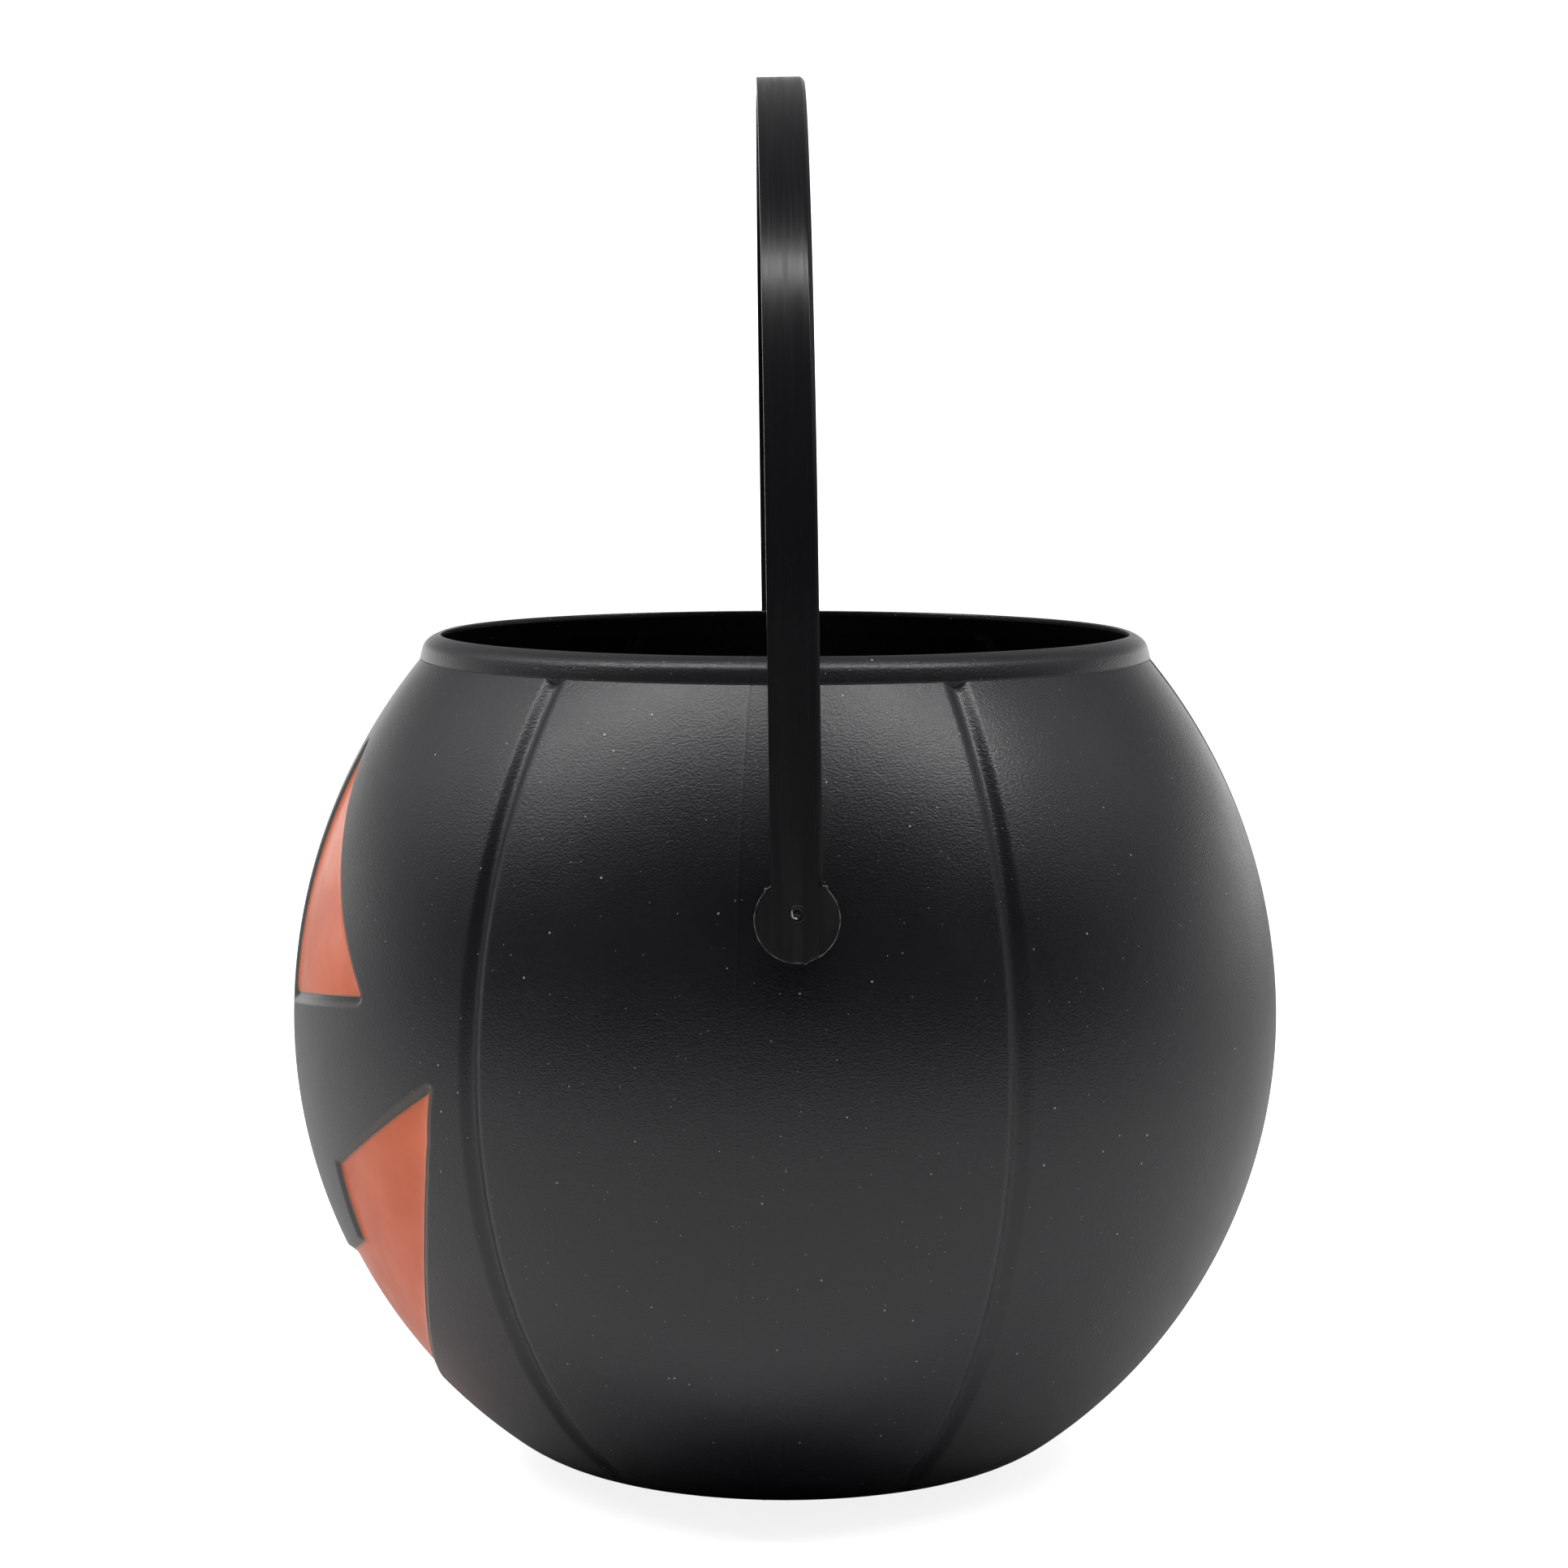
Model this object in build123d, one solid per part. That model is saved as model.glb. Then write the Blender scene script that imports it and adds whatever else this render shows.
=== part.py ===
"""Pumpkin candy pail: a blow-moulded shell with a recessed, painted face and a snap-in strap bail.

Millimetres. The origin is the centre of the base, +Z is up and the face looks along -Y.
"""
from build123d import *
import math
import os

# Shell: a body of revolution drawn by three tangent arcs, from the standing ring to the rim
body_radius = 105.0
equator_height = 95.8
base_radius = 39.6
base_corner_radius = 34.0
wall = 1.2

# Rim band above the crease
mouth_radius = 73.3
rim_height = 177.5
rim_land = 4.5
rim_fall = 2.6
rim_round = 1.8
band_height = 5.3
band_proud = 0.3

# Base: a shallow push-up inside the standing ring and the pinch-off line of the blown tube
standing_ring = 9.6
push_up_rise = 2.5
pinch_length = 44.0
pinch_width = 1.4
pinch_height = 0.8

# Vertical grooves, as angles from the parting line at +X
groove_half_angle = 31.0
groove_depth = 1.3
groove_width = 6.0
groove_run_past_crease = 1.8
groove_fade_angle = 8.0
right_angle = 90.0
half_turn = 180.0
groove_angles = [
    groove_half_angle,
    right_angle,
    half_turn - groove_half_angle,
    half_turn + groove_half_angle,
    -groove_half_angle,
]

# Face recess and its paint
recess_depth = 1.3
paint_thickness = 0.2
paint_margin = 0.4

# Face across the front, as shares of the body's radius
eye_inner_share = 0.205
eye_outer_share = 0.650
nose_half_width_share = 0.110
grin_half_width_share = 0.800
tooth_inner_share = 0.248
tooth_outer_share = 0.477

# Face above the equator, as shares of the rise to the crease
eye_top_share = 0.788
eye_inner_foot_share = 0.048
eye_outer_foot_share = 0.127

# Face below the equator, as shares of the equator's height
nose_top_share = 0.992
nose_foot_share = 0.762
grin_corner_share = 0.976
upper_lip_share = 0.632
lower_lip_share = 0.175

# Face roundings, and the length of a tooth below the upper lip
eye_bulge = 1.5
eye_corner_radius = 2.0
eye_tip_radius = 1.0
nose_corner_radius = 2.0
grin_corner_radius = 1.8
tooth_corner_radius = 1.6
tooth_length = 11.9

# Bail
bail_rise = 117.0
pivot_rise = 33.6
hinge_turn = 5.8
hinge_offset = 1.2
rest_lean = 0.8
swing_limit = 125.0
swing_steps = 40
strap_width = 10.0
strap_thickness = 3.0
strap_bevel = 0.8
end_disc_radius = 8.2
gate_radius = 1.6
gate_height = 0.3
pivot_hole_radius = 3.5
barb_lip = 0.9
barb_length = 4.5
barb_slot = 2.0
barb_slot_depth = 8.0
barb_tip_lip = 0.9

# Clearances
peg_clearance = 0.08
leg_clearance = 0.4
barb_clearance = 0.3
paint_clearance = 0.1
overrun = 5.0

# Heights and radii that follow from the sizes above
crease_height = rim_height - band_height
crease_rise = crease_height - equator_height
crease_radius = mouth_radius + rim_land - band_proud
pivot_height = equator_height + pivot_rise
bail_top = rim_height + bail_rise
groove_rod_radius = (groove_width**2 / 4 + groove_depth**2) / (2 * groove_depth)
push_up_radius = base_radius - standing_ring
push_up_sphere = (push_up_radius**2 + push_up_rise**2) / (2 * push_up_rise)

# The lower arc is upright at the equator and tangent to the base corner
corner_drop = equator_height - base_corner_radius
base_step = body_radius - base_radius
corner_step = base_step - base_corner_radius
lower_arc_radius = (base_step**2 + corner_drop**2 - base_corner_radius**2) / (2 * corner_step)
lower_centre = body_radius - lower_arc_radius
corner_angle = math.degrees(math.atan2(corner_drop, base_radius - lower_centre))

# The upper arc is upright at the equator and ends at the crease
crease_step = body_radius - crease_radius
upper_arc_radius = (crease_step**2 + crease_rise**2) / (2 * crease_step)
upper_centre = body_radius - upper_arc_radius


def surface_radius(height, inset=0.0):
    """Radius of the shell at a height, between the base corner and the rim."""
    centre, arc_radius = lower_centre, lower_arc_radius
    if height > equator_height:
        centre, arc_radius = upper_centre, upper_arc_radius
    return centre + math.sqrt((arc_radius - inset)**2 - (height - equator_height)**2)


def turned(outline):
    """Solid of revolution about Z of a closed outline drawn as radius and height."""
    return revolve(Plane.XZ * make_face(outline), Axis.Z)


def body_block(inset, top_height):
    """Solid inside the shell's surface, moved in by an inset and cut off at a height."""
    rise = math.degrees(math.asin((top_height - equator_height) / (upper_arc_radius - inset)))
    corner_place = (base_radius, base_corner_radius)
    corner = CenterArc(corner_place, base_corner_radius - inset, -right_angle, right_angle - corner_angle)
    lower = CenterArc((lower_centre, equator_height), lower_arc_radius - inset, -corner_angle, corner_angle)
    upper = CenterArc((upper_centre, equator_height), upper_arc_radius - inset, 0, rise)
    floor = Line((0, inset), corner @ 0)
    lid = Line(upper @ 1, (0, top_height))
    axis = Line((0, top_height), (0, inset))
    return turned([floor, corner, lower, upper, lid, axis])


def rim_block():
    """Solid disc whose edge is the rim band, rounded over to a land that rises to the mouth."""
    shoulder = mouth_radius + rim_land
    bend = (shoulder, rim_height - rim_fall)
    points = [
        (0, crease_height),
        (shoulder, crease_height),
        bend,
        (mouth_radius, rim_height),
        (0, rim_height),
    ]
    section = make_face(Polyline(*points, close=True))
    corner = section.vertices().sort_by_distance(bend)[0]
    return revolve(Plane.XZ * fillet(corner, rim_round), Axis.Z)


def throat_block():
    """Inside of the rim, drawn in from the wall at the crease to the mouth."""
    points = [
        (0, crease_height),
        (surface_radius(crease_height, wall), crease_height),
        (mouth_radius, rim_height - wall),
        (mouth_radius, rim_height + overrun),
        (0, rim_height + overrun),
    ]
    return turned(Polyline(*points, close=True))


def groove_rods(radius):
    """Round bars along the grooves, each from the rim down to the base corner, where it runs clear."""
    stand_off = groove_rod_radius - groove_depth
    ring = Pos(body_radius + stand_off, 0, equator_height) * Circle(radius)
    run_past = groove_run_past_crease + radius - groove_rod_radius
    climb = math.degrees(math.asin((crease_rise + run_past) / (upper_arc_radius + stand_off)))
    lower_axis = Axis((lower_centre, 0, equator_height), (0, 1, 0))
    upper_axis = Axis((upper_centre, 0, equator_height), (0, -1, 0))
    rod = revolve(ring, lower_axis, corner_angle + groove_fade_angle) + revolve(ring, upper_axis, climb)
    return [Rot(0, 0, angle) * rod for angle in groove_angles]


def push_up(extra):
    """Ball that dishes the base, grown by an extra thickness."""
    return Pos(0, 0, push_up_rise - push_up_sphere) * Sphere(push_up_sphere + extra)


def grown(outline, grow):
    """Outline moved out by a margin, or in where the margin is negative."""
    return offset(outline, grow, kind=Kind.INTERSECTION) if grow else outline


def eye_outline(grow):
    """Leaning triangle with a slightly full outer edge, on the +X side of the face."""
    inner = eye_inner_share * body_radius
    outer = eye_outer_share * body_radius
    top = equator_height + eye_top_share * crease_rise
    inner_foot = equator_height + eye_inner_foot_share * crease_rise
    outer_foot = equator_height + eye_outer_foot_share * crease_rise
    slope = math.hypot(outer - inner, top - outer_foot)
    middle = (
        (inner + outer) / 2 + eye_bulge * (top - outer_foot) / slope,
        (top + outer_foot) / 2 + eye_bulge * (outer - inner) / slope,
    )
    edge = ThreePointArc((outer, outer_foot), middle, (inner, top))
    foot = Line((inner, inner_foot), (outer, outer_foot))
    face = make_face([foot, edge, Line((inner, top), (inner, inner_foot))])
    feet = face.vertices().sort_by(Axis.Y)[:2]
    softened = fillet(feet, eye_corner_radius)
    tip = softened.vertices().sort_by(Axis.Y)[-1]
    return grown(fillet(tip, eye_tip_radius), grow)


def nose_outline(grow):
    """Small triangle under the eyes."""
    half_width = nose_half_width_share * body_radius
    foot = nose_foot_share * equator_height
    points = [(-half_width, foot), (half_width, foot), (0, nose_top_share * equator_height)]
    face = make_face(Polyline(*points, close=True))
    return grown(fillet(face.vertices(), nose_corner_radius), grow)


def lip_circle(lip_share):
    """Radius and centre height of the lip arc through both grin corners and a middle height."""
    half_width = grin_half_width_share * body_radius
    middle = lip_share * equator_height
    sag = grin_corner_share * equator_height - middle
    radius = (half_width**2 + sag**2) / (2 * sag)
    return radius, middle + radius


def tooth_outline(side, grow):
    """Upper tooth on one side of the grin, a column that ends in a rounded foot."""
    upper_radius, upper_lip_centre = lip_circle(upper_lip_share)
    inner = tooth_inner_share * body_radius + grow
    outer = tooth_outer_share * body_radius - grow
    foot_radius = upper_radius + tooth_length - grow
    column = Pos(side * (inner + outer) / 2, upper_lip_centre) * Rectangle(outer - inner, 2 * foot_radius)
    tooth = column & Pos(0, upper_lip_centre) * Circle(foot_radius)
    return fillet(tooth.vertices().sort_by(Axis.Y)[:2], tooth_corner_radius - grow)


def mouth_outline(grow):
    """Wide grin between two lip arcs, with two upper teeth left standing."""
    lower_radius, lower_middle = lip_circle(lower_lip_share)
    upper_radius, upper_middle = lip_circle(upper_lip_share)
    grin = Pos(0, lower_middle) * Circle(lower_radius + grow)
    grin -= Pos(0, upper_middle) * Circle(upper_radius - grow)
    grin = fillet(grin.vertices(), grin_corner_radius + grow)
    return grin - [tooth_outline(side, grow) for side in (-1, 1)]


def face_outlines(grow=0.0):
    """Outline of each painted patch by the name of its piece, as seen from the front."""
    eye = eye_outline(grow)
    return {
        "paint_eye_left": mirror(eye, Plane.YZ),
        "paint_eye_right": eye,
        "paint_nose": nose_outline(grow),
        "paint_mouth": mouth_outline(grow),
    }


def pressed_in(outline):
    """Bar that presses an outline into the front of the pail."""
    return extrude(Plane.XZ * outline, amount=body_radius + overrun, dir=(0, -1, 0))


def hinge_frame():
    """Place of the hinge line's middle, with X along the line."""
    return Rot(0, 0, hinge_turn) * Pos(0, hinge_offset, pivot_height)


def outer_form():
    """Outside of the pail as a full block, with its grooves and its face pressed in."""
    block = body_block(0, crease_height) + rim_block()
    block -= push_up(0)
    dish = push_up(0) - push_up(-pinch_height)
    block += dish & Box(pinch_length, pinch_width, 2 * push_up_rise)
    block -= groove_rods(groove_rod_radius)
    floor = body_block(recess_depth, crease_height)
    return block - [pressed_in(outline) - floor for outline in face_outlines().values()]


def cavity_form():
    """Inside of the pail as a full block, which keeps the wall behind each groove and recess."""
    block = body_block(wall, crease_height) + throat_block()
    block -= push_up(wall)
    block -= groove_rods(groove_rod_radius + wall)
    floor = body_block(recess_depth + wall, crease_height)
    return block - [pressed_in(outline) - floor for outline in face_outlines(wall).values()]


def pail_body():
    """Blow-moulded shell with an even wall and the two holes for the bail's pegs."""
    shell = outer_form() - cavity_form()
    hole = Cylinder(pivot_hole_radius, 2 * (body_radius + overrun), rotation=(0, right_angle, 0))
    return shell - hinge_frame() * hole


def paint_film(outline):
    """Paint on the floor of one recess."""
    bar = pressed_in(outline)
    floor_inset = recess_depth - paint_clearance
    top = body_block(floor_inset - paint_thickness, crease_height)
    return (bar & top) - body_block(floor_inset, crease_height)


def widest_under_bail():
    """Half-width of the pail that the bail's discs and legs have to pass over the whole swing."""
    leg = bail_top - pivot_height - body_radius
    half = strap_width / 2
    widest = math.sqrt(surface_radius(pivot_height - end_disc_radius)**2 - hinge_offset**2)
    for step in range(-swing_steps, swing_steps + 1):
        swing = math.radians(swing_limit * step / swing_steps)
        for place in range(swing_steps + 1):
            along = leg * place / swing_steps
            for edge in (-half, half):
                across = hinge_offset + along * math.sin(swing) + edge * math.cos(swing)
                height = pivot_height + along * math.cos(swing) - edge * math.sin(swing)
                beside = surface_radius(min(height, crease_height))
                if beside > abs(across):
                    widest = max(widest, math.sqrt(beside**2 - across**2))
    return widest


def strap_section(inner):
    """Strap section on the +X side, with bevelled outer edges."""
    half = strap_width / 2
    outer = inner + strap_thickness
    corners = [
        (inner, -half),
        (outer - strap_bevel, -half),
        (outer, -half + strap_bevel),
        (outer, half - strap_bevel),
        (outer - strap_bevel, half),
        (inner, half),
    ]
    return make_face(Polyline(*corners, close=True))


def snap_peg(inner):
    """Peg that turns in the wall, with a split barb inside the pail."""
    neck = pivot_hole_radius - peg_clearance
    barb = neck + barb_lip
    inside = surface_radius(pivot_height + barb, wall)
    shoulder = math.sqrt(inside**2 - (barb + hinge_offset)**2) - barb_clearance
    tip = shoulder - barb_length
    outline = [
        (inner, 0),
        (inner, neck),
        (shoulder, neck),
        (shoulder, barb),
        (tip, neck - barb_tip_lip),
        (tip, 0),
    ]
    peg = revolve(make_face(Polyline(*outline, close=True)), Axis.X)
    return peg - Pos(tip + barb_slot_depth / 2, 0, 0) * Box(barb_slot_depth, barb_slot, 2 * barb)


def bail_side(inner, arch_centre):
    """One leg with its end disc, gate mark and peg, about the hinge line."""
    leg = extrude(strap_section(inner), amount=arch_centre, dir=(0, 0, 1))
    disc = Cylinder(end_disc_radius, strap_thickness, rotation=(0, right_angle, 0))
    gate = Cylinder(gate_radius, 2 * gate_height, rotation=(0, right_angle, 0))
    side = leg + Pos(inner + strap_thickness / 2, 0, 0) * disc
    return side + Pos(inner + strap_thickness, 0, 0) * gate + snap_peg(inner)


def bail():
    """Strap bail in one piece, leaning a little towards the face."""
    inner = widest_under_bail() + leg_clearance
    arch_centre = bail_top - pivot_height - inner - strap_thickness
    start = Pos(0, 0, arch_centre) * strap_section(inner)
    arch = revolve(start, Axis((0, 0, arch_centre), (0, -1, 0)), half_turn)
    side = bail_side(inner, arch_centre)
    strap = arch + side + mirror(side, Plane.YZ)
    return hinge_frame() * Rot(rest_lean, 0, 0) * strap


def main():
    """Build each piece and write it to its own file."""
    pieces = {"pail_body": pail_body(), "bail": bail()}
    for name, outline in face_outlines(-paint_margin).items():
        pieces[name] = paint_film(outline)
    os.makedirs("parts", exist_ok=True)
    for name, piece in pieces.items():
        export_step(piece, f"parts/{name}.step")


main()
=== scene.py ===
"""Looks of the pumpkin candy pail: its blow-moulded shell, its painted face and its strap bail.

Metres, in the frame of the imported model: the origin is the centre of the base, +Z is up and the
face looks along -Y.
"""

import logging
import math
from dataclasses import dataclass
from enum import Enum
from typing import ClassVar, Iterable, Optional, Sequence, Union

import bmesh
import bpy
import numpy as np
from mathutils import Matrix, Vector, geometry


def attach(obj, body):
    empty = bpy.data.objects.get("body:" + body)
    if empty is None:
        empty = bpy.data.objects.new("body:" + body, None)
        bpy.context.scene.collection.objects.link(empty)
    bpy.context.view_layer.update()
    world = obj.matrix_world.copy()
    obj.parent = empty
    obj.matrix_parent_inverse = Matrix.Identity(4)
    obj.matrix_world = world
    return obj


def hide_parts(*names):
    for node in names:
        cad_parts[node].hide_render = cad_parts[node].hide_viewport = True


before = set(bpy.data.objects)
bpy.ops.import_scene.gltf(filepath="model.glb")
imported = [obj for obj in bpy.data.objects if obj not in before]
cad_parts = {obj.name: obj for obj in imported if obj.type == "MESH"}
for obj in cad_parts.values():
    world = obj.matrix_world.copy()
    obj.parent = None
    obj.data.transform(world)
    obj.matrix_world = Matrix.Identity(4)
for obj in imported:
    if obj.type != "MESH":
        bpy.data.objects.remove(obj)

LOG = logging.getLogger("candy_pail")
MM = 0.001
SHARP_ANGLE = math.radians(34)

Colour = tuple[float, float, float, float]
Point2 = tuple[float, float]
Row = tuple[float, float, float, float]
Rings = Sequence[Sequence[Vector]]
Key = Union[int, str]
Socket = bpy.types.NodeSocket

WHITE: Colour = (1.0, 1.0, 1.0, 1.0)


class Body(Enum):
    """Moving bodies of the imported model."""

    PAIL = "pail"
    HANDLE = "handle"


class Slot(Enum):
    """Material slots of the record."""

    SHELL = "black_shell"
    STRAP = "black_strap"
    PAINT = "orange_paint"


class FacePatch(Enum):
    """Painted patches of the face, by the name of the solid that each stands for."""

    EYE_LEFT = "paint_eye_left"
    EYE_RIGHT = "paint_eye_right"
    NOSE = "paint_nose"
    MOUTH = "paint_mouth"


class End(Enum):
    """Ends of the hinge line, by the sign of their place along it."""

    NEAR = 1
    FAR = -1

    def named(self, piece: str) -> str:
        """Name a piece at this end."""
        return f"{piece}_{self.name.lower()}"


def linear(red: float, green: float, blue: float) -> Colour:
    """Turn display levels into the linear colour that a shader takes.

    Args:
        red: Level from 0 to 255.
        green: Level from 0 to 255.
        blue: Level from 0 to 255.

    Returns:
        The linear colour with full opacity.
    """
    levels = [level / 255 for level in (red, green, blue)]
    parts = [x / 12.92 if x <= 0.04045 else ((x + 0.055) / 1.055) ** 2.4 for x in levels]
    return parts[0], parts[1], parts[2], 1.0


def ease(low: float, high: float, value: np.ndarray) -> np.ndarray:
    """Rise smoothly from 0 at the low value to 1 at the high one."""
    share = np.clip((value - low) / (high - low), 0, 1)
    return share * share * (3 - 2 * share)


class NodeGraph:
    """Shader nodes of a material or of the world, with short calls to add and join them."""

    speck_edge: ClassVar[float] = 0.4

    def __init__(self, owner: bpy.types.ID, shader: str = "Principled BSDF", place: str = "Object") -> None:
        """Start from the owner's own shader.

        Args:
            owner: Material or world that holds the nodes.
            shader: Name of the shader that it starts with.
            place: Kind of coordinates that the patterns follow.
        """
        owner.use_nodes = True
        self.material = owner
        self.tree = owner.node_tree
        self.shader = self.tree.nodes[shader]
        self.place = self.read("ShaderNodeTexCoord", place)

    def join(self, node: bpy.types.Node, inputs: dict[Key, object]) -> None:
        """Link sockets to a node's inputs, or set the inputs to values.

        Args:
            node: Node that takes the inputs.
            inputs: Socket or value by the input's name or number.
        """
        for key, value in inputs.items():
            if isinstance(value, bpy.types.NodeSocket):
                self.tree.links.new(value, node.inputs[key])
            else:
                node.inputs[key].default_value = value

    def add(self, kind: str, inputs: dict[Key, object], **settings: object) -> bpy.types.Node:
        """Add a node.

        Args:
            kind: Blender's name of the node type.
            inputs: Socket or value by the input's name or number.
            settings: Properties of the node.

        Returns:
            The new node.
        """
        node = self.tree.nodes.new(kind)
        for key, value in settings.items():
            setattr(node, key, value)
        self.join(node, inputs)
        return node

    def feed(self, **inputs: object) -> None:
        """Join inputs of the shader by their names, with _ for a space."""
        self.join(self.shader, {key.replace("_", " "): value for key, value in inputs.items()})

    def read(self, kind: str, output: Key, **settings: object) -> Socket:
        """Add a node without inputs and give one of its outputs."""
        return self.add(kind, {}, **settings).outputs[output]

    def attribute(self, name: str, output: str = "Fac") -> Socket:
        """Read an attribute of the mesh."""
        return self.read("ShaderNodeAttribute", output, attribute_name=name)

    def camera_ray(self) -> Socket:
        """Give 1 to the camera's own rays and 0 to all others."""
        return self.read("ShaderNodeLightPath", "Is Camera Ray")

    def math(self, operation: str, first: object, second: object) -> Socket:
        """Combine two numbers, each a socket or a value."""
        return self.add("ShaderNodeMath", {0: first, 1: second}, operation=operation).outputs[0]

    def mix(self, share: object, first: object, second: object) -> Socket:
        """Mix two colours by the share of the second, through the node's colour sockets."""
        return self.add("ShaderNodeMix", {0: share, 6: first, 7: second}, data_type="RGBA").outputs[2]

    def ramp(self, value: object, low: float, high: float, start: float = 0.0, end: float = 1.0) -> Socket:
        """Map the span from low to high smoothly to the span from start to end."""
        inputs = dict(enumerate((value, low, high, start, end)))
        return self.add("ShaderNodeMapRange", inputs, interpolation_type="SMOOTHSTEP").outputs[0]

    def noise(self, scale: float, detail: float, place: Optional[Socket] = None,
              roughness: float = 0.5) -> Socket:
        """Add noise of some cells to the metre, in the object's own coordinates or the given ones."""
        inputs = {"Vector": place or self.place, "Scale": scale, "Detail": detail, "Roughness": roughness}
        return self.add("ShaderNodeTexNoise", inputs).outputs["Fac"]

    def stretched(self, scale: Sequence[float], turn: Sequence[float] = (0, 0, 0)) -> Socket:
        """Scale the object's coordinates along each axis, and turn them by degrees."""
        inputs = {"Vector": self.place, "Scale": scale, "Rotation": [math.radians(part) for part in turn]}
        return self.add("ShaderNodeMapping", inputs, vector_type="POINT").outputs[0]

    def specks(self, cells: float, kept: float, size: float, place: Optional[Socket] = None) -> Socket:
        """Scatter small specks over the surface.

        Args:
            cells: Cells to the metre, one speck to a cell at most.
            kept: Share of the cells that hold a speck.
            size: Radius of the largest speck as a share of a cell.
            place: Coordinates, or None for the object's own, where the specks are round.

        Returns:
            A mask that is 1 on a speck.
        """
        inputs = {"Vector": place or self.place, "Scale": cells, "Randomness": 1.0}
        node = self.add("ShaderNodeTexVoronoi", inputs)
        split = self.add("ShaderNodeSeparateColor", {"Color": node.outputs["Color"]})
        radius = self.ramp(split.outputs[0], 1 - kept, 1.0, 0.0, size)
        inside = self.math("SUBTRACT", radius, node.outputs["Distance"])
        return self.ramp(inside, 0.0, size * self.speck_edge)

    def bump(self, height: Socket, distance: float, normal: Optional[Socket] = None) -> Socket:
        """Turn a height, as a share of a distance in metres, into a bumped normal."""
        inputs = {"Height": height, "Distance": distance, "Strength": 1.0}
        return self.add("ShaderNodeBump", inputs | ({"Normal": normal} if normal else {})).outputs[0]


@dataclass(frozen=True)
class ShellFinish:
    """Matte black blow-moulded plastic with an orange-peel skin, dust, and a pale band on the face's recess
    shoulders: painted sheen of the shoulders with a little paint mist.
    """

    # Vertex attribute of the pale shoulder band: a painted highlight for the recess shoulders' sheen, with
    # a little paint mist.
    edge: ClassVar[str] = "sheen_and_mist_edge"
    colour: Colour = linear(15, 16, 21)
    rubbed: Colour = linear(70, 70, 74)
    dust: Colour = linear(150, 150, 152)
    # Pale grey of the shoulder band: painted sheen of the recess shoulders, with a little paint mist.
    mist: Colour = linear(150, 138, 124)
    rubbed_share: float = 0.10
    sheen_and_mist_share: float = 0.14
    fluff_share: float = 0.8
    lint_share: float = 0.6
    roughness: float = 0.35
    dust_roughness: float = 0.4
    peel_cells: float = 1500.0
    peel_height: float = 0.00008
    pit_cells: float = 4500.0
    pit_height: float = 0.00002
    cloud_cells: float = 14.0
    rub_cells: float = 38.0
    dust_specks: tuple[float, ...] = (350.0, 0.40, 0.10)
    fluff_specks: tuple[float, ...] = (805.0, 0.40, 0.12)
    lint_specks: tuple[float, ...] = (350.0, 0.20, 0.05)
    lint_turns: tuple[float, ...] = (25, 80, 140)
    lint_stretch: tuple[float, ...] = (1, 1, 0.14)

    def material(self) -> bpy.types.Material:
        """Make the material.

        Returns:
            The new material.
        """
        graph = NodeGraph(bpy.data.materials.new("black_shell_plastic"))
        peel = graph.noise(self.peel_cells, 3.0, graph.stretched((1, 1, 1.6)))
        pits = graph.noise(self.pit_cells, 1.0)
        cloud = graph.noise(self.cloud_cells, 4.0, roughness=0.6)
        rubs = graph.noise(self.rub_cells, 6.0, graph.stretched((1, 1, 2.5)), 0.7)
        fluff = graph.math("MULTIPLY", graph.specks(*self.fluff_specks), self.fluff_share)
        dirt = graph.math("MAXIMUM", graph.specks(*self.dust_specks), fluff)
        for turn in self.lint_turns:
            lint = graph.specks(*self.lint_specks, graph.stretched(self.lint_stretch, (turn, turn, 0)))
            dirt = graph.math("MAXIMUM", dirt, graph.math("MULTIPLY", lint, self.lint_share))
        film = graph.mix(graph.ramp(rubs, 0.58, 0.78, 0.0, self.rubbed_share), self.colour, self.rubbed)
        rough = graph.ramp(cloud, 0.3, 0.7, self.roughness - 0.03, self.roughness + 0.05)
        skin = graph.bump(pits, self.pit_height, graph.bump(peel, self.peel_height))
        # Painted highlight: the shoulder band mixes pale grey over the black where the recess shoulders
        # catch sheen, with a little paint mist.
        edge = graph.math("MULTIPLY", graph.attribute(self.edge), self.sheen_and_mist_share)
        colour = graph.mix(dirt, graph.mix(edge, film, self.mist), self.dust)
        rough = graph.math("ADD", rough, graph.math("MULTIPLY", dirt, self.dust_roughness))
        graph.feed(Base_Color=colour, Normal=skin, Roughness=rough)
        return graph.material


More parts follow.
